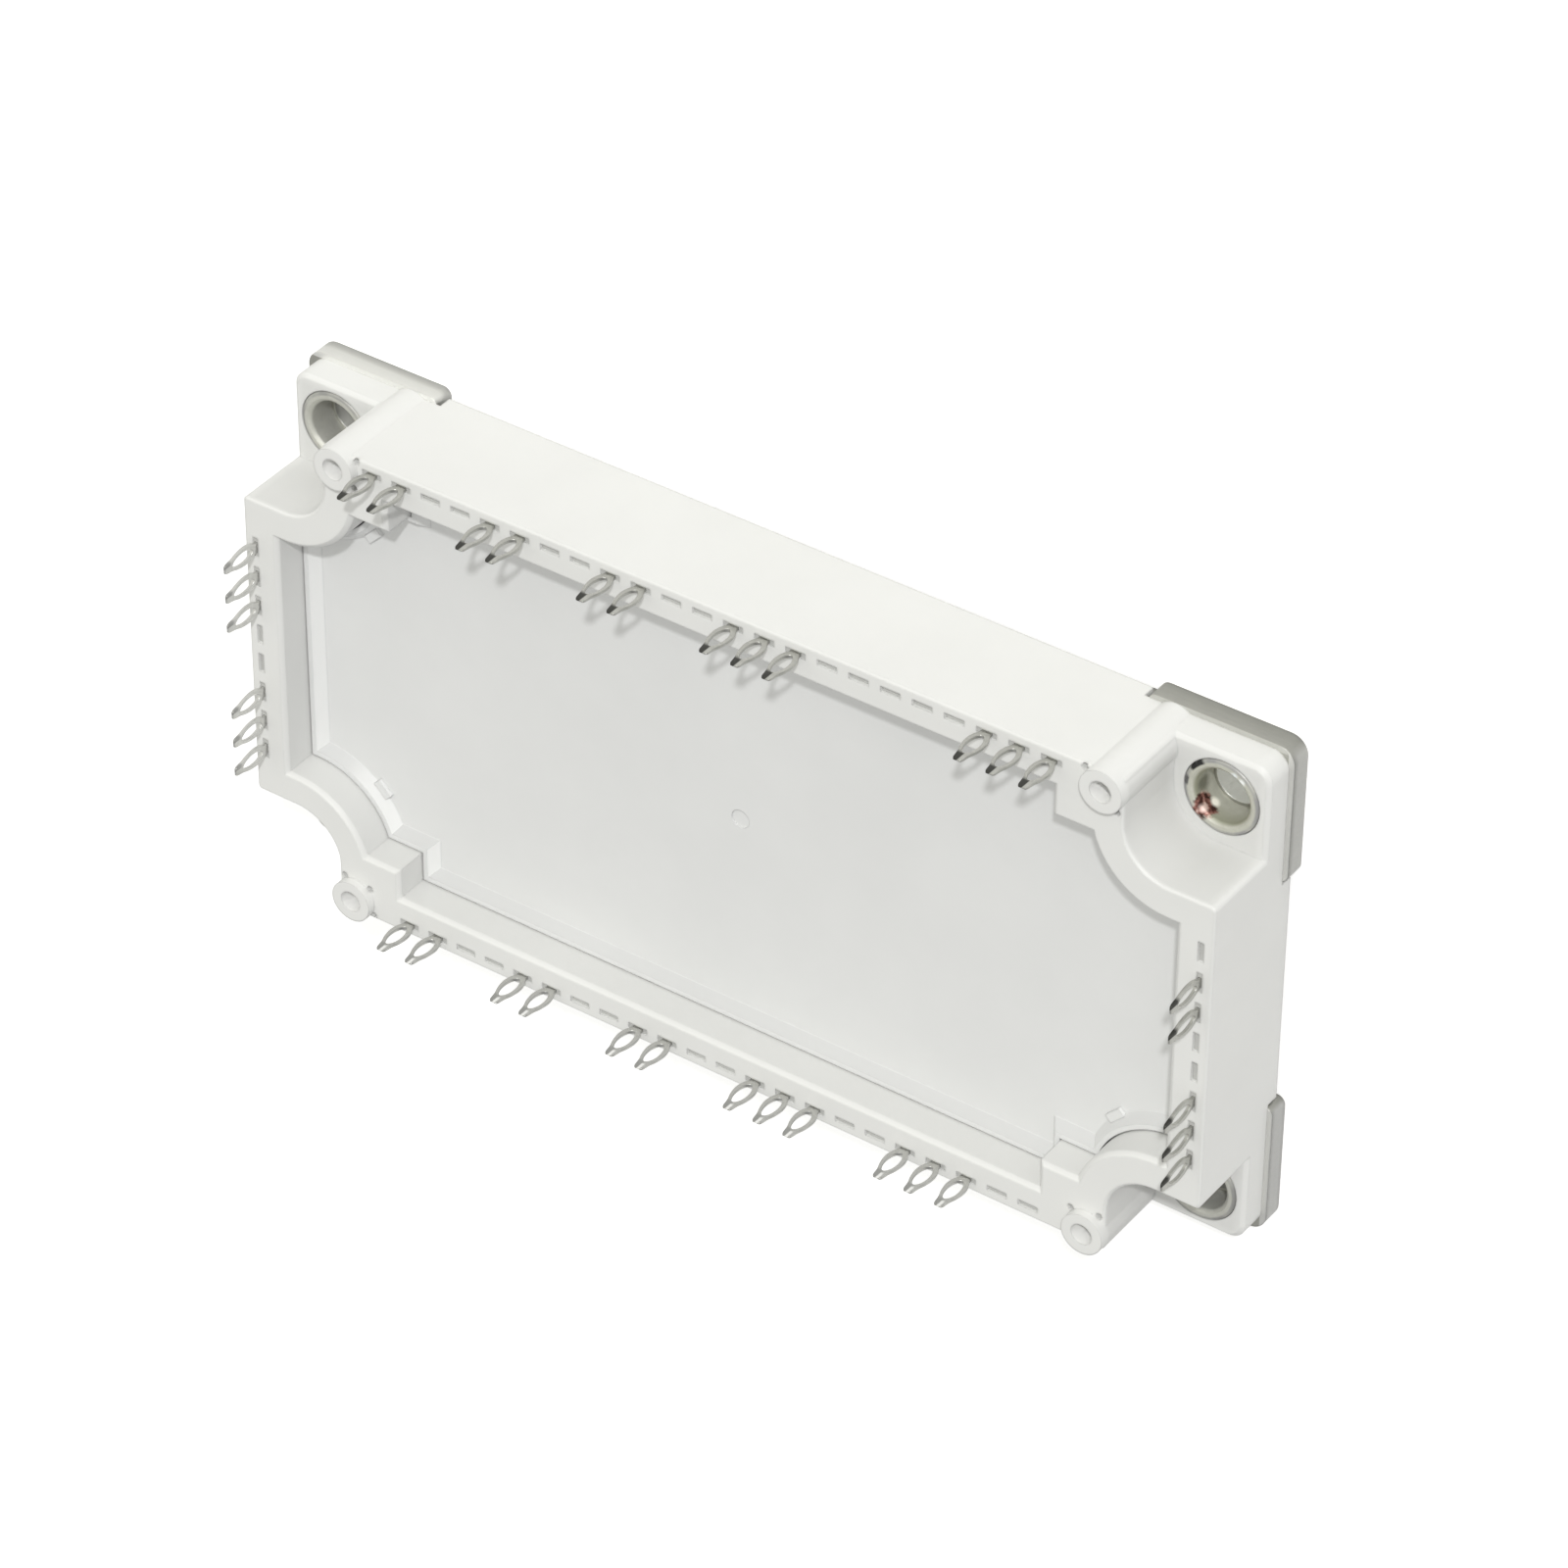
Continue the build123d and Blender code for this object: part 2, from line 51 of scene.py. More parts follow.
plate_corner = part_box("base_plate")[1]
boss_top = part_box("housing_frame")[1].z
rim_top = boss_top - 1.0 * mm
cover_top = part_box("cover")[1].z - 1.3 * mm
sleeve_from, sleeve_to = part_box("sleeve_back_right")
sleeve_low = sleeve_from.z
sleeve_high = sleeve_to.z
sleeve_outer = (sleeve_to.x - sleeve_from.x) / 2
sleeve_inner = 3.1 * mm
bevel_size = 0.45 * mm
bevel_low = sleeve_high - bevel_size
hole_middle = (sleeve_from + sleeve_to) / 2
boss_middle = hole_middle + Vector((-7.75, 3.5, 0)) * mm
boss_hole_radius = 1.25 * mm
pin_from, pin_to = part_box("pin_back_01")
foot_level = pin_from.z
tip_level = pin_to.z
pin_thickness = 0.4 * mm
pin_pitch = 3.81 * mm
upward = Vector((0, 0, 1))
corner_signs = ((-1, -1), (1, -1), (1, 1), (-1, 1))

# Node helpers


def grey(level):
    """Colour without a hue."""
    return (level, level, level)


def object_place(tree):
    """Object coordinates."""
    return tree.nodes.new("ShaderNodeTexCoord").outputs["Object"]


def start_material(name):
    """New material with its principled shader and object coordinates."""
    material = bpy.data.materials.new(name)
    material.use_nodes = True
    tree = material.node_tree
    shader = tree.nodes["Principled BSDF"]
    return material, tree, shader, object_place(tree)


def stretched(tree, place, scale):
    """Coordinates scaled by a vector, for grain that runs one way."""
    mapping = tree.nodes.new("ShaderNodeMapping")
    mapping.inputs["Scale"].default_value = scale
    tree.links.new(place, mapping.inputs["Vector"])
    return mapping.outputs["Vector"]


def noise(tree, place, size, detail=4.0, roughness=0.55):
    """Noise whose features are about that many metres wide."""
    node = tree.nodes.new("ShaderNodeTexNoise")
    node.inputs["Scale"].default_value = 1 / size
    node.inputs["Detail"].default_value = detail
    node.inputs["Roughness"].default_value = roughness
    tree.links.new(place, node.inputs["Vector"])
    return node.outputs["Fac"]


def ramp(tree, value, stops):
    """Colour ramp from (position, colour) stops."""
    node = tree.nodes.new("ShaderNodeValToRGB")
    ends = node.color_ramp.elements
    for element, (position, colour) in zip(ends, (stops[0], stops[-1])):
        element.position = position
        element.color = (*colour, 1)
    for position, colour in stops[1:-1]:
        ends.new(position).color = (*colour, 1)
    tree.links.new(value, node.inputs["Fac"])
    return node.outputs["Color"]


def spread(tree, value, low, high):
    """Value from 0.3 to 0.7 mapped to low to high."""
    node = tree.nodes.new("ShaderNodeMapRange")
    node.inputs["From Min"].default_value = 0.3
    node.inputs["From Max"].default_value = 0.7
    node.inputs["To Min"].default_value = low
    node.inputs["To Max"].default_value = high
    tree.links.new(value, node.inputs["Value"])
    return node.outputs["Result"]


def blend(tree, share, first, second):
    """Mix of two colours by a share from 0 to 1."""
    node = tree.nodes.new("ShaderNodeMix")
    node.data_type = "RGBA"
    factor, colour_a, colour_b = node.inputs[0], node.inputs[6], node.inputs[7]
    for socket, value in ((factor, share), (colour_a, first), (colour_b, second)):
        if isinstance(value, bpy.types.NodeSocket):
            tree.links.new(value, socket)
        elif isinstance(value, tuple):
            socket.default_value = (*value, 1)
        else:
            socket.default_value = value
    return node.outputs[2]


def bump(tree, shader, layers, edge_round):
    """Bump from (height, distance, strength) layers over softly rounded edges."""
    normal = None
    if edge_round:
        rounded = tree.nodes.new("ShaderNodeBevel")
        rounded.samples = 4
        rounded.inputs["Radius"].default_value = edge_round
        normal = rounded.outputs["Normal"]
    for height, distance, strength in layers:
        node = tree.nodes.new("ShaderNodeBump")
        node.inputs["Distance"].default_value = distance
        node.inputs["Strength"].default_value = strength
        tree.links.new(height, node.inputs["Height"])
        if normal:
            tree.links.new(normal, node.inputs["Normal"])
        normal = node.outputs["Normal"]
    tree.links.new(normal, shader.inputs["Normal"])


def math_node(tree, operation, *values):
    """Math node on sockets and numbers."""
    node = tree.nodes.new("ShaderNodeMath")
    node.operation = operation
    for socket, value in zip(node.inputs, values):
        if isinstance(value, bpy.types.NodeSocket):
            tree.links.new(value, socket)
        else:
            socket.default_value = value
    return node.outputs["Value"]


def product(tree, first, *others):
    """Product of sockets and numbers."""
    for other in others:
        first = math_node(tree, "MULTIPLY", first, other)
    return first


def without_sign(tree, value):
    """Value without its sign."""
    return math_node(tree, "ABSOLUTE", value)


def step_between(tree, value, start, end):
    """Share from 0 at start to 1 at end, held outside them."""
    node = tree.nodes.new("ShaderNodeMapRange")
    node.inputs["From Min"].default_value = start
    node.inputs["From Max"].default_value = end
    tree.links.new(value, node.inputs["Value"])
    return node.outputs["Result"]


def split_axes(tree, vector):
    """X, Y and Z of a vector."""
    node = tree.nodes.new("ShaderNodeSeparateXYZ")
    tree.links.new(vector, node.inputs["Vector"])
    return node.outputs["X"], node.outputs["Y"], node.outputs["Z"]


def face_direction(tree):
    """X, Y and Z of the way that the surface faces."""
    return split_axes(tree, tree.nodes.new("ShaderNodeNewGeometry").outputs["Normal"])


def axis_distance(tree, across, along, middle_x=0.0, middle_y=0.0):
    """Distance from an upright axis."""
    squares = []
    for place, middle in ((across, middle_x), (along, middle_y)):
        squares.append(math_node(tree, "POWER", math_node(tree, "SUBTRACT", place, middle), 2.0))
    return math_node(tree, "SQRT", math_node(tree, "ADD", *squares))


def spot(tree, place, centre, reach, soft, ragged=0.0):
    """Share that is 1 within reach of a point and falls to 0 over soft."""
    away = tree.nodes.new("ShaderNodeVectorMath")
    away.operation = "DISTANCE"
    tree.links.new(place, away.inputs[0])
    away.inputs[1].default_value = centre
    distance = away.outputs["Value"]
    if ragged:
        uneven = math_node(tree, "SUBTRACT", noise(tree, place, 0.6 * mm, 4.0, 0.6), 0.5)
        distance = math_node(tree, "MULTIPLY_ADD", uneven, ragged, distance)
    return step_between(tree, distance, reach + soft, reach)


def paint(material, share, tone):
    """Lay a colour over the material's own by a share."""
    tree = material.node_tree
    socket = tree.nodes["Principled BSDF"].inputs["Base Color"]
    tree.links.new(blend(tree, share, socket.links[0].from_socket, tone), socket)


def less_metallic(material, shares):
    """Take the metal's sheen off where any of the shares is 1."""
    tree = material.node_tree
    socket = tree.nodes["Principled BSDF"].inputs["Metallic"]
    value = socket.default_value
    for share in shares:
        value = math_node(tree, "MULTIPLY", value, math_node(tree, "SUBTRACT", 1.0, share))
    tree.links.new(value, socket)


# Materials


def moulded_plastic(name, pale, shade, roughness, edge_round):
    """Plastic or ceramic: faint cloudiness and the fine texture of the mould."""
    material, tree, shader, place = start_material(name)
    cloud = noise(tree, place, 14 * mm, 3.0)
    grain = noise(tree, place, 0.35 * mm, 5.0, 0.7)
    waves = noise(tree, place, 6 * mm, 2.0)
    colour = ramp(tree, cloud, ((0.32, shade), (0.68, pale)))
    tree.links.new(colour, shader.inputs["Base Color"])
    tree.links.new(spread(tree, grain, roughness - 0.05, roughness + 0.07), shader.inputs["Roughness"])
    shader.inputs["IOR"].default_value = 1.52
    shader.inputs["Specular IOR Level"].default_value = 0.4
    bump(tree, shader, ((waves, 0.02 * mm, 0.35), (grain, 0.012 * mm, 0.4)), edge_round)
    return material


def grained_metal(name, bright, dark, roughness, grain_scale, edge_round, metallic=1.0):
    """Plate, copper, solder or wire: a cloudy and mottled tone, and grain that can run one way."""
    material, tree, shader, place = start_material(name)
    cloud = noise(tree, place, 4 * mm, 4.0)
    grain = noise(tree, stretched(tree, place, grain_scale), 0.3 * mm, 5.0, 0.65)
    mottle = noise(tree, place, 0.8 * mm, 6.0, 0.7)
    clouded = ramp(tree, cloud, ((0.3, dark), (0.7, bright)))
    mottled = ramp(tree, mottle, ((0.3, dark), (0.65, bright)))
    tree.links.new(blend(tree, 0.5, clouded, mottled), shader.inputs["Base Color"])
    shader.inputs["Metallic"].default_value = metallic
    tree.links.new(spread(tree, grain, roughness - 0.07, roughness + 0.1), shader.inputs["Roughness"])
    bump(tree, shader, ((grain, 0.01 * mm, 0.5), (mottle, 0.01 * mm, 0.2)), edge_round)
    return material


def painted_shade_inside(material, share):
    """Painted shade inside the outer walls and below the rim: the plastic there a little greyer."""
    tree = material.node_tree
    across, along, height = split_axes(tree, object_place(tree))
    wall_start = 0.8 * mm
    wall_end = 2.0 * mm
    from_middle_x = without_sign(tree, across)
    from_middle_y = without_sign(tree, along)
    inside = product(
        tree,
        step_between(tree, from_middle_x, plate_corner.x - wall_start, plate_corner.x - wall_end),
        step_between(tree, from_middle_y, plate_corner.y - wall_start, plate_corner.y - wall_end),
        step_between(tree, height, rim_top - 0.1 * mm, rim_top - 0.6 * mm),
    )
    paint(material, product(tree, inside, share), grey(0.0))


def painted_light_in_screw_holes(material):
    """Painted light inside the screw holes of the four bosses, lightening the shade deep in them."""
    tree = material.node_tree
    across, along, height = split_axes(tree, object_place(tree))
    reach = boss_hole_radius + 0.02 * mm
    top = boss_top - 0.05 * mm
    corner_x = without_sign(tree, across)
    corner_y = without_sign(tree, along)
    from_axis = axis_distance(tree, corner_x, corner_y, boss_middle.x, boss_middle.y)
    inside = step_between(tree, from_axis, reach + 0.1 * mm, reach)
    below = step_between(tree, height, top, top - 0.1 * mm)
    paint(material, product(tree, inside, below), (0.97, 0.97, 0.96))


def cover_lip_painted_shading(material):
    """Upright lip of the cover, with painted shade where it faces the back and a painted highlight where it
    faces right.
    """
    tree = material.node_tree
    height = split_axes(tree, object_place(tree))[2]
    facing_x, facing_y = face_direction(tree)[:2]
    lip = step_between(tree, height, cover_top + 0.02 * mm, cover_top + 0.12 * mm)
    # painted shade on the lip facing the back, painted highlight on the lip facing right
    for facing, share, tone in ((facing_y, 0.14, grey(0.0)), (facing_x, 0.8, (0.9, 0.905, 0.9))):
        paint(material, product(tree, lip, step_between(tree, facing, 0.3, 0.8), share), tone)


def plate_edge_painted_reflection(material):
    """Painted reflection and shade in bands across the thickness of the plate's punched edges, paler on the
    left.
    """
    tree = material.node_tree
    across, along, height = split_axes(tree, object_place(tree))
    facing_y, facing_z = face_direction(tree)[1:]
    level = step_between(tree, height, 0.0, plate_corner.z)
    # ramps of painted reflection and shade from the plate's underside to its top, one for each side
    long_right = ramp(tree, level, (
        (0.0, (0.28, 0.28, 0.265)), (0.15, (0.39, 0.39, 0.365)), (1.0, (0.48, 0.48, 0.45)),
    ))
    long_left = ramp(tree, level, (
        (0.0, (0.46, 0.46, 0.45)), (0.12, (0.55, 0.55, 0.54)), (0.3, (0.67, 0.67, 0.65)),
        (0.5, (0.9, 0.9, 0.88)), (1.0, (1.0, 1.0, 0.98)),
    ))
    end_back = ramp(tree, level, (
        (0.0, (0.67, 0.67, 0.66)), (0.7, (0.62, 0.62, 0.61)), (1.0, (0.34, 0.34, 0.33)),
    ))
    end_front = ramp(tree, level, (
        (0.0, grey(0.52)), (0.25, grey(0.66)), (0.75, grey(0.63)), (1.0, grey(0.44)),
    ))
    end_side = blend(tree, step_between(tree, along, 10 * mm, -10 * mm), end_back, end_front)
    long_side = blend(tree, step_between(tree, across, 20 * mm, -20 * mm), long_right, long_left)
    on_long_side = step_between(tree, without_sign(tree, facing_y), 0.4, 0.8)
    upright = step_between(tree, without_sign(tree, facing_z), 0.6, 0.3)
    paint(material, product(tree, upright, 0.8), blend(tree, on_long_side, end_side, long_side))


def plate_painted_highlight_strips(material):
    """Painted highlight in strips on the plate's flat faces along the back and the right edge."""
    tree = material.node_tree
    across, along = split_axes(tree, object_place(tree))[:2]
    flat = step_between(tree, without_sign(tree, face_direction(tree)[2]), 0.6, 0.8)
    strip_start = 0.8 * mm
    strip_full = 0.7 * mm
    to_left = step_between(tree, across, 20 * mm, -20 * mm)
    # painted highlight tones, the back strip brighter towards the left
    back_tone = blend(tree, to_left, (0.7, 0.7, 0.67), (1.0, 1.0, 0.98))
    right_tone = (0.86, 0.86, 0.84)
    for place, edge, tone in ((along, plate_corner.y, back_tone), (across, plate_corner.x, right_tone)):
        strip = step_between(tree, place, edge - strip_start, edge - strip_full)
        paint(material, product(tree, flat, strip, 0.9), tone)


def plate_hole_painted_light(material):
    """Painted light on the wall of the plate's hole at the back right, and painted shade on the flat edge
    round it.
    """
    tree = material.node_tree
    across, along = split_axes(tree, object_place(tree))[:2]
    flat = step_between(tree, without_sign(tree, face_direction(tree)[2]), 0.6, 0.8)
    from_axis = axis_distance(tree, across, along, hole_middle.x, hole_middle.y)
    hole = step_between(tree, from_axis, sleeve_inner + 0.2 * mm, sleeve_inner + 0.05 * mm)
    # painted light on the hole's wall, then painted shade on its flat edge
    paint(material, hole, (0.97, 0.98, 0.95))
    paint(material, product(tree, hole, flat), (0.4, 0.4, 0.37))


def tip_axes(tree):
    """Place across the pin's head, and height. The pin's thickness hardly counts."""
    across, along, height = split_axes(tree, object_place(tree))
    return math_node(tree, "SUBTRACT", along, across), height


def tip_painted_reflection(material, start, end, tone):
    """Painted dark reflection on one side of the pin's coined tip, darker than the plating."""
    tree = material.node_tree
    side, height = tip_axes(tree)
    one_side = step_between(tree, side, -0.02 * mm, 0.08 * mm)
    paint(material, product(tree, step_between(tree, height, start, end), one_side), tone)


def tip_painted_glint(material, start, end, half_width, tone):
    """Painted glint down the middle of the pin's tip."""
    tree = material.node_tree
    side, height = tip_axes(tree)
    middle = step_between(tree, without_sign(tree, side), half_width, half_width / 2)
    streak = product(tree, step_between(tree, height, start, end), middle)
    paint(material, streak, tone)
    less_metallic(material, (streak,))


def sleeve_painted_shade_ring(material, tone):
    """Painted shade in a ring round the outside of a sleeve's rolled rim, uneven along its length."""
    tree = material.node_tree
    place = object_place(tree)
    radius = axis_distance(tree, *split_axes(tree, place)[:2])
    rim = step_between(tree, radius, sleeve_outer - 0.5 * mm, sleeve_outer - 0.3 * mm)
    uneven = step_between(tree, noise(tree, place, 2.5 * mm, 2.0), 0.2, 0.55)
    paint(material, product(tree, rim, uneven), tone)


def bore_shade(material, start, end, share, tone):
    """Painted shade inside a sleeve's bore, between two heights."""
    tree = material.node_tree
    across, along, height = split_axes(tree, object_place(tree))
    radius = axis_distance(tree, across, along)
    bore = step_between(tree, radius, sleeve_inner + 0.3 * mm, sleeve_inner + 0.1 * mm)
    paint(material, product(tree, bore, step_between(tree, height, start, end), share), tone)


def bore_painted_light(material):
    """Painted shade, a painted copper-coloured reflection with a pale middle and a painted highlight in the
    bore, and two painted highlights on its bevel.
    """
    tree = material.node_tree
    place = object_place(tree)
    mottle = noise(tree, place, 1.0 * mm, 3.0, 0.6)
    copper_reflection = ramp(tree, mottle, (
        (0.42, (0.055, 0.016, 0.012)), (0.54, (0.36, 0.16, 0.13)), (0.66, (0.8, 0.6, 0.54)),
    ))
    # centre, reach, soft edge and raggedness in millimetres, tone, and whether the metal's sheen is gone so
    # that a painted highlight shows
    marks = (
        # painted shade on the bore's wall
        ((-3.07, -0.46, 4.46), 0.5, 0.8, 0.8, (0.26, 0.26, 0.21), False),
        # painted copper-coloured reflection, and below it its pale middle
        ((-2.1, -2.25, 5.4), 1.1, 0.4, 1.5, copper_reflection, False),
        ((-2.1, -2.4, 5.75), 0.15, 0.5, 0.5, (0.86, 0.66, 0.6), False),
        # painted highlight on the bore's wall
        ((-1.78, -2.54, 4.15), 0.3, 0.4, 0.0, (1.0, 0.97, 0.88), True),
        # two painted highlights on the bevel
        ((1.3, 3.25, 6.0), 0.15, 0.4, 0.3, (0.86, 0.9, 0.92), True),
        ((2.2, 2.8, 6.0), 0.2, 0.35, 0.3, (0.95, 0.97, 0.97), True),
    )
    highlights = []
    for centre, reach, soft, ragged, tone, dull in marks:
        mark = spot(tree, place, Vector(centre) * mm, reach * mm, soft * mm, ragged * mm)
        paint(material, mark, tone)
        if dull:
            highlights.append(mark)
    less_metallic(material, highlights)


def rim_dark_spots(material):
    """Three dark spots painted on the sleeve's rim."""
    tree = material.node_tree
    place = object_place(tree)
    radius = axis_distance(tree, *split_axes(tree, place)[:2])
    rim = step_between(tree, radius, sleeve_outer - 0.6 * mm, sleeve_outer - 0.45 * mm)
    # centre in millimetres, and grey level
    for centre, level in (((-3.2, 2.5, 6.1), 0.02), ((-2.6, 3.05, 6.1), 0.03), ((-3.95, 0.5, 6.1), 0.14)):
        mark = spot(tree, place, Vector(centre) * mm, 0.35 * mm, 0.4 * mm, 0.3 * mm)
        paint(material, product(tree, mark, rim), grey(level))


frame_plastic = moulded_plastic("frame_white", (0.83, 0.832, 0.82), (0.805, 0.807, 0.795), 0.42, 0.32 * mm)
# painted shade inside the walls, below the rim
painted_shade_inside(frame_plastic, 0.1)
# painted light inside the screw holes
painted_light_in_screw_holes(frame_plastic)
cover_plastic = moulded_plastic("cover_white", (0.79, 0.795, 0.795), (0.765, 0.77, 0.77), 0.46, 0.2 * mm)
cover_lip_painted_shading(cover_plastic)
# grey of the slot inserts: painted shade for the shade in the slots
insert_painted_shade = moulded_plastic("insert_grey_shade", (0.56, 0.565, 0.55), (0.5, 0.5, 0.49), 0.5, 0)
nickel = grained_metal("plate_nickel", (0.56, 0.56, 0.52), (0.46, 0.46, 0.42), 0.42, (0.15, 1, 1), 0.25 * mm)
plate_edge_painted_reflection(nickel)
plate_painted_highlight_strips(nickel)
plate_hole_painted_light(nickel)

drawn_upright = (1, 1, 0.2)
turned_round = (0.3, 0.3, 3)
even_grain = (1, 1, 1)
tin = grained_metal("pin_tin", (0.64, 0.64, 0.61), (0.47, 0.47, 0.44), 0.33, drawn_upright, 0)
# painted dark reflection on the pins' tips
tip_painted_reflection(tin, 19.0 * mm, 19.5 * mm, (0.08, 0.08, 0.075))
# lighter copies of the same tin for the front and the left pins: painted light where those rows look
# brighter
lighter_tin_front = grained_metal("pin_tin_lit_front", (0.68, 0.68, 0.66), (0.52, 0.52, 0.5), 0.33, drawn_upright, 0)
tip_painted_reflection(lighter_tin_front, 19.0 * mm, 19.5 * mm, (0.44, 0.44, 0.43))
# painted glint on the front pins' tips
tip_painted_glint(lighter_tin_front, 19.5 * mm, 19.8 * mm, 0.22 * mm, (0.82, 0.82, 0.81))
lighter_tin_left = grained_metal("pin_tin_lit_left", (0.82, 0.82, 0.8), (0.65, 0.65, 0.63), 0.36, drawn_upright, 0)
tip_painted_reflection(lighter_tin_left, 19.4 * mm, 19.8 * mm, (0.44, 0.44, 0.43))
pin_tin_lit_by_side = {"back": tin, "front": lighter_tin_front, "left": lighter_tin_left, "right": tin}

sleeve_bright = (0.72, 0.72, 0.67)
sleeve_dark = (0.58, 0.58, 0.53)
sleeve_plate = grained_metal("sleeve_turned", sleeve_bright, sleeve_dark, 0.56, turned_round, 0, 0.65)
# painted shade in the bore
bore_shade(sleeve_plate, sleeve_high - 0.05 * mm, bevel_low, 0.36, grey(0.3))
# painted shade round the sleeve's rim
sleeve_painted_shade_ring(sleeve_plate, (0.4, 0.4, 0.39))
# own material for the back right sleeve, carrying painted shade, a painted reflection and painted highlights
# in its bore
sleeve_painted_light = grained_metal("sleeve_painted_light", (0.7, 0.7, 0.63), (0.56, 0.56, 0.49), 0.5, turned_round, 0, 0.5)
sleeve_painted_shade_ring(sleeve_painted_light, grey(0.4))
bore_shade(sleeve_painted_light, 3.6 * mm, bevel_low, 0.75, (0.36, 0.37, 0.27))
bore_painted_light(sleeve_painted_light)
rim_dark_spots(sleeve_painted_light)

solder_grey = grained_metal("solder_dull", (0.55, 0.56, 0.58), (0.36, 0.37, 0.39), 0.48, even_grain, 0)
copper = grained_metal("copper_satin", (0.86, 0.47, 0.3), (0.66, 0.31, 0.18), 0.36, (0.2, 1, 1), 0)
chip_metal = grained_metal("chip_face", (0.5, 0.52, 0.58), (0.36, 0.38, 0.44), 0.22, even_grain, 0)
wire_metal = grained_metal("wire_drawn", (0.82, 0.82, 0.83), (0.62, 0.62, 0.64), 0.28, even_grain, 0)
ceramic_white = moulded_plastic("ceramic_sintered", (0.84, 0.82, 0.77), (0.77, 0.75, 0.7), 0.6, 0)
sensor_dark = moulded_plastic("sensor_dark", (0.07, 0.065, 0.06), (0.04, 0.038, 0.036), 0.35, 0)

finishes = {
    "frame_plastic": frame_plastic,
    "cover_plastic": cover_plastic,
    "nickel_plate": nickel,
    "pin_metal": tin,
    "sleeve_metal": sleeve_plate,
    "solder": solder_grey,
    "copper": copper,
    "silicon": chip_metal,
    "aluminium_wire": wire_metal,
    "ceramic": ceramic_white,
    "sensor_body": sensor_dark,
}
slot_of = {part["node"]: part["material_slot"] for part in frame["record"]["subparts"]}
for node_name, node_object in frame["nodes"].items():
    node_object.data.materials.clear()
    node_object.data.materials.append(finishes[slot_of[node_name]])

# Objects and meshes


def add_object(name, data):
    """New object in the scene."""
    thing = bpy.data.objects.new(name, data)
    bpy.context.scene.collection.objects.link(thing)
    return thing


def extrude(work, faces, offset):
    """Give faces a thickness along the offset."""
    raised = bmesh.ops.extrude_face_region(work, geom=faces)["geom"]
    lifted = [part for part in raised if isinstance(part, bmesh.types.BMVert)]
    bmesh.ops.translate(work, verts=lifted, vec=offset)


def finish_mesh(work, name, material, sharp_turn=None):
    """Mesh of the work, smooth except at edges sharper than the turn where one is given."""
    mesh = bpy.data.meshes.new(name)
    work.to_mesh(mesh)
    work.free()
    if sharp_turn:
        for polygon in mesh.polygons:
            polygon.use_smooth = True
        mesh.set_sharp_from_angle(angle=sharp_turn)
    mesh.materials.append(material)
    return mesh


# Press-fit pins, rounded like the stamped and coined real ones

foot_pad_half = 0.95 * mm
foot_pad_length = 2.4 * mm
eye_low = 15.9 * mm
eye_high = 19.3 * mm
eye_half = 0.72 * mm
eye_power = 0.6
eye_steps = 20
coin_start = eye_high
coin_share = 0.5
edge_radius = 0.05 * mm
pin_sharp_turn = radians(50)
# height and half width along the stem and the head, in millimetres
head_sides = (
    (6.2, 0.6), (14.6, 0.6), (15.4, 0.62), (16.2, 0.98), (17.2, 1.14),
    (18.4, 0.98), (19.3, 0.68), (19.8, 0.6), (20.3, 0.54), (20.5, 0.4),
)
widest_half = max(half for height, half in head_sides)
# heights of the rows of corners below and above the eye, in millimetres
stem_rows = (14.6, 15.1, 15.5)
tip_rows = (19.5, 19.7, 19.9, 20.1, 20.25, 20.4)
inward_of = {
    "back": Vector((0, -1, 0)),
    "front": Vector((0, 1, 0)),
    "left": Vector((1, 0, 0)),
    "right": Vector((-1, 0, 0)),
}


def smooth_width(level):
    """Half width of the pin at a height, on a smooth curve through head_sides."""
    last = len(head_sides) - 1
    for index in range(last):
        if level <= head_sides[index + 1][0] * mm:
            break
    points = [head_sides[max(0, min(last, index + step))] for step in (-1, 0, 1, 2)]
    (z0, w0), (z1, w1), (z2, w2), (z3, w3) = points
    share = (level / mm - z1) / (z2 - z1)
    start = (w2 - w0) / (z2 - z0) * (z2 - z1) if index else 0
    end = (w3 - w1) / (z3 - z1) * (z2 - z1)
    square = share * share
    cube = square * share
    width = (2 * cube - 3 * square + 1) * w1 + (cube - 2 * square + share) * start
    width += (3 * square - 2 * cube) * w2 + (cube - square) * end
    return min(width, widest_half) * mm


def eye_width(level):
    """Half width of the eye at a height."""
    middle = (eye_low + eye_high) / 2
    share = abs(level - middle) / ((eye_high - eye_low) / 2)
    return eye_half * (1 - share * share) ** eye_power if share < 1 else 0


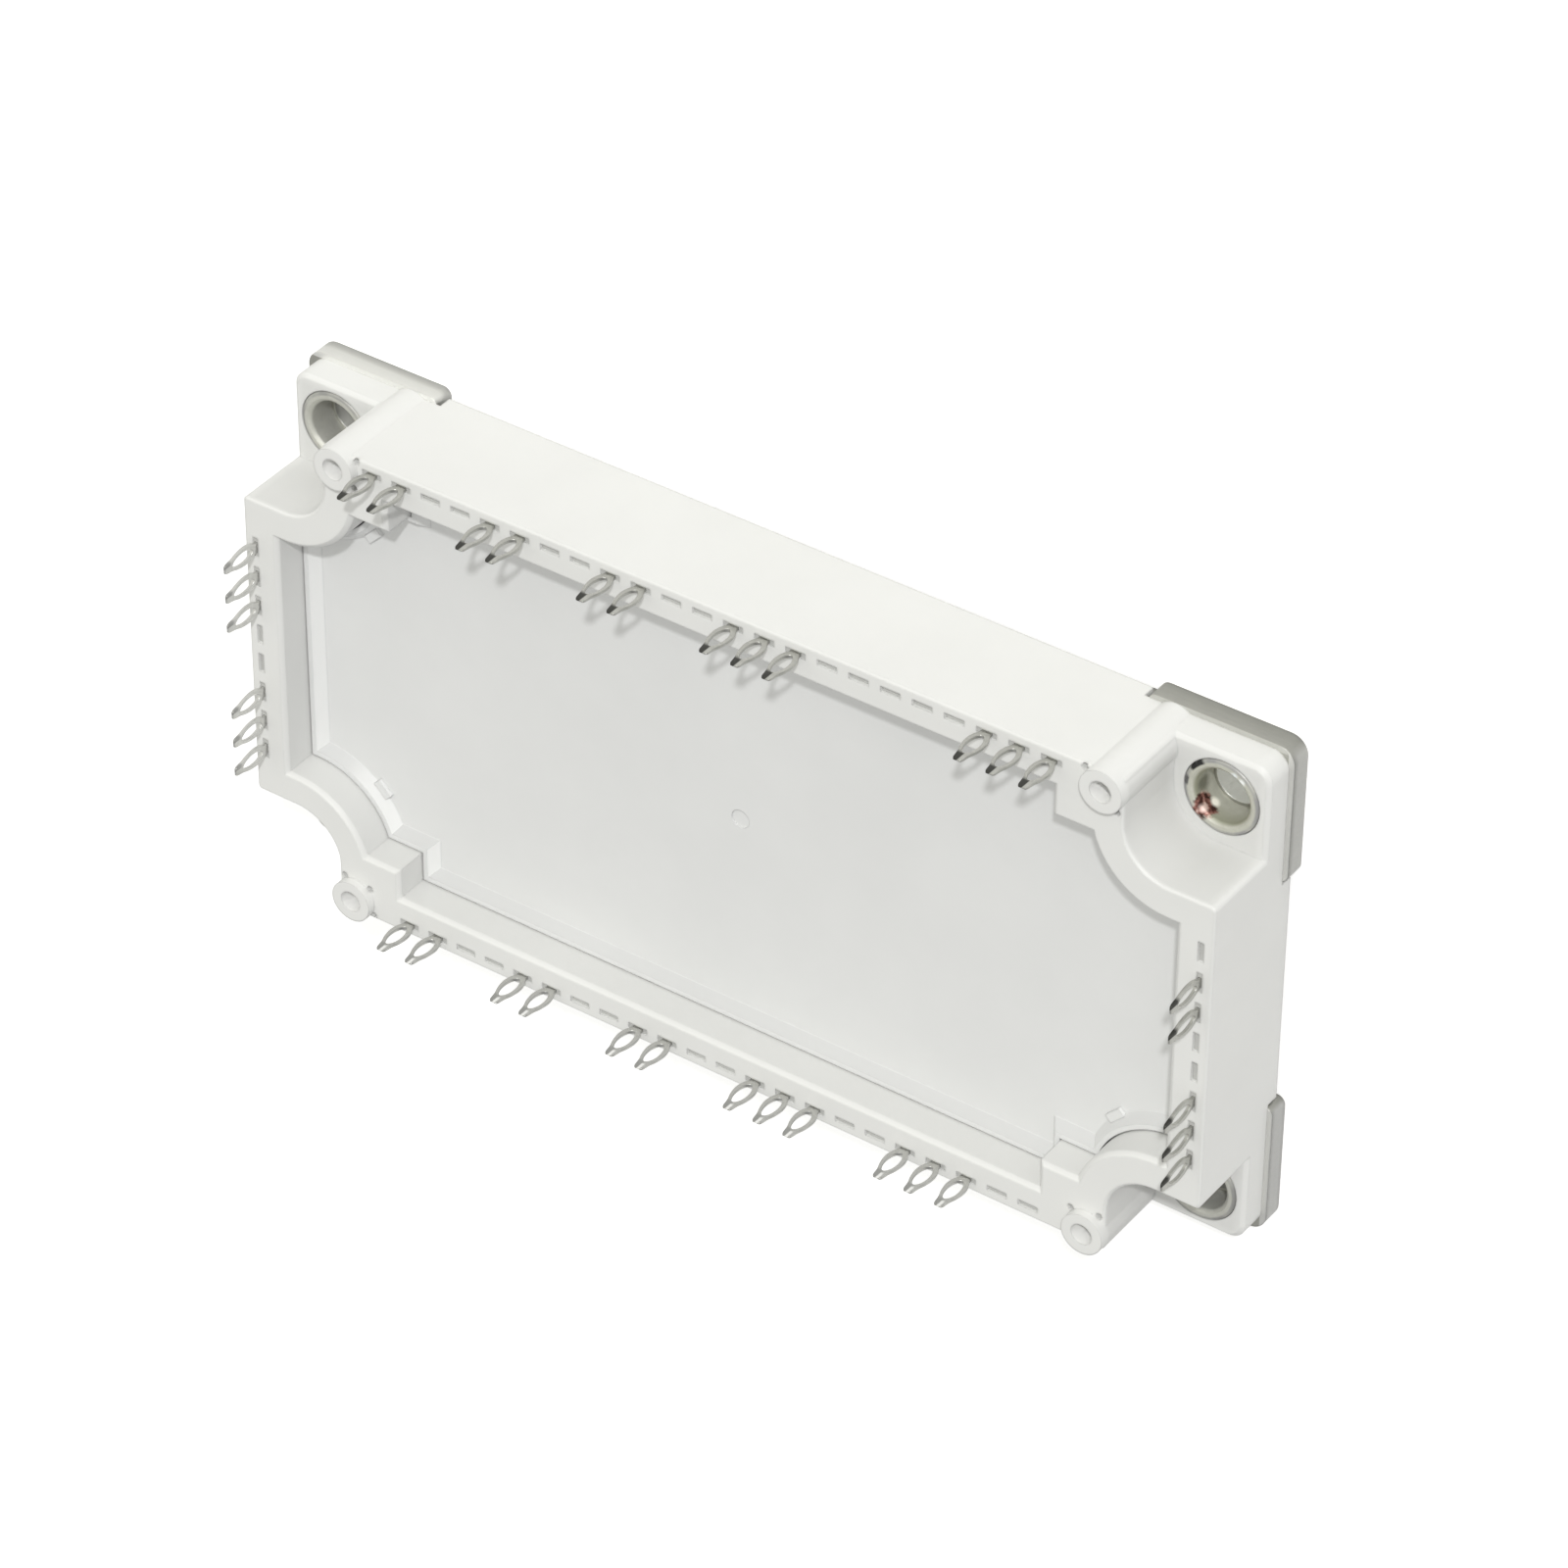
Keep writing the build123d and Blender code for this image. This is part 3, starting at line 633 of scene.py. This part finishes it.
def pin_head(inward, along):
    """Stem and head with the eye: one sheet, coined at its tip and softened at its edges."""
    levels = [foot_level, *[row * mm for row in stem_rows]]
    for step in range(eye_steps + 1):
        levels.append(eye_low + (eye_high - eye_low) * (1 - cos(pi * step / eye_steps)) / 2)
    levels += [*[row * mm for row in tip_rows], tip_level]
    work = bmesh.new()
    rows = []
    for level in levels:
        outer = smooth_width(level)
        inner = eye_width(level)
        sides = (outer, inner, -inner, -outer) if inner else (outer, 0, -outer)
        row = [work.verts.new(along * side + upward * level) for side in sides]
        if not inner:
            row.insert(2, row[1])
        rows.append(row)
    for low_row, high_row in zip(rows, rows[1:]):
        for left, right in ((0, 1), (2, 3)):
            work.faces.new((low_row[left], low_row[right], high_row[right], high_row[left]))
    extrude(work, work.faces[:], inward * pin_thickness)
    bmesh.ops.translate(work, verts=work.verts, vec=-inward * pin_thickness / 2)
    for vert in work.verts:
        if vert.co.z > coin_start:
            share = (vert.co.z - coin_start) / (tip_level - coin_start)
            vert.co -= inward * vert.co.dot(inward) * coin_share * share * share
    bmesh.ops.recalc_face_normals(work, faces=work.faces)
    work.normal_update()
    rims = [edge for edge in work.edges if edge.calc_face_angle(0) > pin_sharp_turn]
    bmesh.ops.bevel(work, geom=rims, offset=edge_radius, segments=2, profile=0.5, affect="EDGES")
    return work


def pin_foot(inward, along, foot_reach):
    """Foot from the stem inward, with a wider pad at its end."""
    stem_half = smooth_width(foot_level)
    pad_start = foot_reach - foot_pad_length
    strip = ((0, stem_half), (pad_start, stem_half))
    outline = (*strip, (pad_start, foot_pad_half), (foot_reach, foot_pad_half))
    ring = [*outline, *[(reach, -half) for reach, half in reversed(outline)]]
    work = bmesh.new()
    corners = [work.verts.new(inward * reach + along * half + upward * foot_level) for reach, half in ring]
    extrude(work, [work.faces.new(corners)], upward * pin_thickness)
    bmesh.ops.recalc_face_normals(work, faces=work.faces)
    return work


def pin_mesh(name, inward, foot_reach, material):
    """Pin mesh standing at the origin, its foot turned inward."""
    along = inward.cross(upward)
    head = pin_head(inward, along)
    foot = pin_foot(inward, along, foot_reach)
    foot_mesh = bpy.data.meshes.new(name + "_foot")
    foot.to_mesh(foot_mesh)
    foot.free()
    head.from_mesh(foot_mesh)
    return finish_mesh(head, name, material, pin_sharp_turn)


pin_meshes = {}
stands = {side: [] for side in inward_of}
for node_name in sorted(name for name in frame["nodes"] if name.startswith("pin_")):
    side = node_name.split("_")[1]
    inward = inward_of[side]
    low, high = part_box(node_name)
    depth = abs((high - low).dot(inward))
    stand = (low + high) / 2 - inward * (depth / 2 - pin_thickness / 2)
    stand.z = 0
    stands[side].append(stand)
    if side not in pin_meshes:
        foot_reach = depth - pin_thickness / 2
        pin_meshes[side] = pin_mesh("stamped_pin_" + side, inward, foot_reach, pin_tin_lit_by_side[side])
    pin = add_object("stamped_" + node_name, pin_meshes[side])
    pin.location = stand
    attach(pin, "root")
    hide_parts(node_name)

# Plastic inserts in the slots, grey as painted shade: a collar round each pin's stem, a lower blind one
# where no pin stands

insert_half_length = 1.19 * mm
insert_half_width = 0.34 * mm
insert_low = rim_top - 2.8 * mm
collar_top = rim_top - 0.1 * mm
blind_top = rim_top - 0.35 * mm
stem_half_width = smooth_width(foot_level) + 0.02 * mm
stem_half_depth = pin_thickness / 2 + 0.01 * mm
# first and last slot of each side, counted from the side's first pin
slot_spans = {"back": (0, 22), "front": (0, 21), "left": (0, 7), "right": (-1, 6)}


def slot_places(side):
    """Middle of each slot of a side, and whether a pin stands in it."""
    row = side in ("back", "front")
    pins = sorted(stands[side], key=lambda stand: stand.x if row else -stand.y)
    stride = Vector((pin_pitch, 0, 0)) if row else Vector((0, -pin_pitch, 0))
    first, last = slot_spans[side]
    places = [pins[0] + stride * index for index in range(first, last + 1)]
    return [(place, any((place - pin).length < pin_pitch / 2 for pin in pins)) for place in places]


def insert_mesh(name, inward, places):
    """Inserts of one side in one mesh."""
    along = inward.cross(upward)
    sizes = ((insert_half_length, insert_half_width), (stem_half_width, stem_half_depth))
    work = bmesh.new()
    for place, has_pin in places:
        levels = (insert_low, collar_top if has_pin else blind_top)
        rings = []
        for half_length, half_width in sizes:
            ring = []
            for sign_a, sign_b in corner_signs:
                corner = place + along * half_length * sign_a + inward * half_width * sign_b
                ring.append([work.verts.new((corner.x, corner.y, level)) for level in levels])
            rings.append(ring)
        outer, inner = rings
        for index in range(4):
            a, b = outer[index], outer[(index + 1) % 4]
            c, d = inner[(index + 1) % 4], inner[index]
            work.faces.new((a[0], b[0], b[1], a[1]))
            for end in (0, 1):
                work.faces.new((a[end], b[end], c[end], d[end]))
            if has_pin:
                work.faces.new((c[0], d[0], d[1], c[1]))
        if not has_pin:
            for end in (0, 1):
                work.faces.new([corner[end] for corner in inner])
    bmesh.ops.recalc_face_normals(work, faces=work.faces)
    return finish_mesh(work, name, insert_painted_shade)


for side, inward in inward_of.items():
    inserts = add_object("slot_shade_inserts_" + side, insert_mesh("inserts_" + side, inward, slot_places(side)))
    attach(inserts, "root")

# Turned sleeves with a rounded lip

lip_radius = 0.34 * mm
lip_steps = 4
bevel_knee_out = 0.12 * mm
bevel_knee_up = 0.2 * mm
sleeve_steps = 96
sleeve_sharp_turn = radians(35)
same_point = 1e-7


def sleeve_mesh():
    """Sleeve turned about the origin's axis."""
    profile = [
        (sleeve_inner, sleeve_low),
        (sleeve_inner, bevel_low),
        (sleeve_inner + bevel_knee_out, bevel_low + bevel_knee_up),
        (sleeve_inner + bevel_size, sleeve_high),
    ]
    for step in range(lip_steps + 1):
        turn = radians(90 - 90 * step / lip_steps)
        outward = sleeve_outer - lip_radius + lip_radius * cos(turn)
        profile.append((outward, sleeve_high - lip_radius + lip_radius * sin(turn)))
    profile.append((sleeve_outer, sleeve_low))
    work = bmesh.new()
    ring = [work.verts.new((radius, 0, level)) for radius, level in profile]
    edges = [work.edges.new(pair) for pair in zip(ring, ring[1:] + ring[:1])]
    bmesh.ops.spin(work, geom=ring + edges, axis=upward, cent=(0, 0, 0), steps=sleeve_steps, angle=2 * pi)
    bmesh.ops.remove_doubles(work, verts=work.verts, dist=same_point)
    bmesh.ops.recalc_face_normals(work, faces=work.faces)
    return finish_mesh(work, "turned_sleeve", sleeve_plate, sleeve_sharp_turn)


turned = sleeve_mesh()
for node_name in sorted(name for name in frame["nodes"] if name.startswith("sleeve_")):
    low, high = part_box(node_name)
    mesh = turned
    if node_name == "sleeve_back_right":
        mesh = turned.copy()
        mesh.materials[0] = sleeve_painted_light
    sleeve = add_object("turned_" + node_name, mesh)
    sleeve.location = ((low.x + high.x) / 2, (low.y + high.y) / 2, 0)
    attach(sleeve, "root")
    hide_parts(node_name)

# Floor and light

floor_half = 1.5
floor_gap = 0.02 * mm
glow_seen = 0.52
glow_cast = 0.1
sun_strength = 1.35
sun_width = radians(2.8)
toward_sun = Vector((0.4, 0.685, 0.61)).normalized()
sky_level = 0.46
sky_slope = (-0.1, 0.26, 0.3)
sky_cool = (1.0, 1.0, 1.0)
sky_warm = (1.0, 0.995, 0.93)


def glow(tree, strength):
    """Light of its own."""
    node = tree.nodes.new("ShaderNodeEmission")
    node.inputs["Strength"].default_value = strength
    return node.outputs["Emission"]


def floor_material():
    """Pale matte floor that stays white in the picture and still takes the shadow."""
    material, tree, shader, place = start_material("floor_pale")
    speckle = noise(tree, place, 20 * mm, 3.0)
    tone = ramp(tree, speckle, ((0.3, (0.74, 0.74, 0.735)), (0.7, (0.76, 0.76, 0.755))))
    tree.links.new(tone, shader.inputs["Base Color"])
    shader.inputs["Roughness"].default_value = 0.9
    seen = tree.nodes.new("ShaderNodeMixShader")
    tree.links.new(tree.nodes.new("ShaderNodeLightPath").outputs["Is Camera Ray"], seen.inputs["Fac"])
    tree.links.new(glow(tree, glow_cast), seen.inputs[1])
    tree.links.new(glow(tree, glow_seen), seen.inputs[2])
    both = tree.nodes.new("ShaderNodeAddShader")
    tree.links.new(shader.outputs["BSDF"], both.inputs[0])
    tree.links.new(seen.outputs["Shader"], both.inputs[1])
    tree.links.new(both.outputs["Shader"], tree.nodes["Material Output"].inputs["Surface"])
    return material


def studio_world():
    """Even surroundings, brighter and a little warmer above, at the back and on the left."""
    world = bpy.data.worlds.new("studio")
    world.use_nodes = True
    tree = world.node_tree
    background = tree.nodes["Background"]
    slope = tree.nodes.new("ShaderNodeVectorMath")
    slope.operation = "DOT_PRODUCT"
    slope.inputs[1].default_value = sky_slope
    tree.links.new(tree.nodes.new("ShaderNodeTexCoord").outputs["Generated"], slope.inputs[0])
    level = math_node(tree, "ADD", slope.outputs["Value"], sky_level)
    tree.links.new(level, background.inputs["Strength"])
    tree.links.new(ramp(tree, level, ((0.5, sky_cool), (0.75, sky_warm))), background.inputs["Color"])
    return world


floor_mesh = bpy.data.meshes.new("floor")
floor_mesh.from_pydata([(x * floor_half, y * floor_half, 0) for x, y in corner_signs], [], [(0, 1, 2, 3)])
floor_mesh.materials.append(floor_material())
floor = add_object("floor", floor_mesh)
floor.location = (0, 0, -floor_gap)

sun_data = bpy.data.lights.new("key", "SUN")
sun_data.energy = sun_strength
sun_data.angle = sun_width
sun = add_object("key", sun_data)
sun.location = toward_sun
sun.rotation_mode = "QUATERNION"
sun.rotation_quaternion = (-toward_sun).to_track_quat("-Z", "Y")
bpy.context.scene.world = studio_world()

# Camera at the photograph's viewing angle

aim = Vector((5.6, 7.2, 10.0)) * mm
camera_distance = 0.6958
look_heading = radians(-143.36)
look_down = radians(40.73)
roll = radians(130.85)
lens = 155.96

look = Vector((sin(look_heading) * cos(look_down), cos(look_heading) * cos(look_down), -sin(look_down)))
level_right = look.cross(upward).normalized()
level_up = level_right.cross(look)
up = level_up * cos(roll) + level_right * sin(roll)
camera_data = bpy.data.cameras.new("camera")
camera_data.sensor_width = 36
camera_data.lens = lens
camera_data.clip_start = 0.01
camera = add_object("camera", camera_data)
turn = Matrix((look.cross(up), up, -look)).transposed().to_4x4()
camera.matrix_world = Matrix.Translation(aim - look * camera_distance) @ turn
bpy.context.scene.camera = camera
bpy.context.scene.view_settings.view_transform = "Standard"
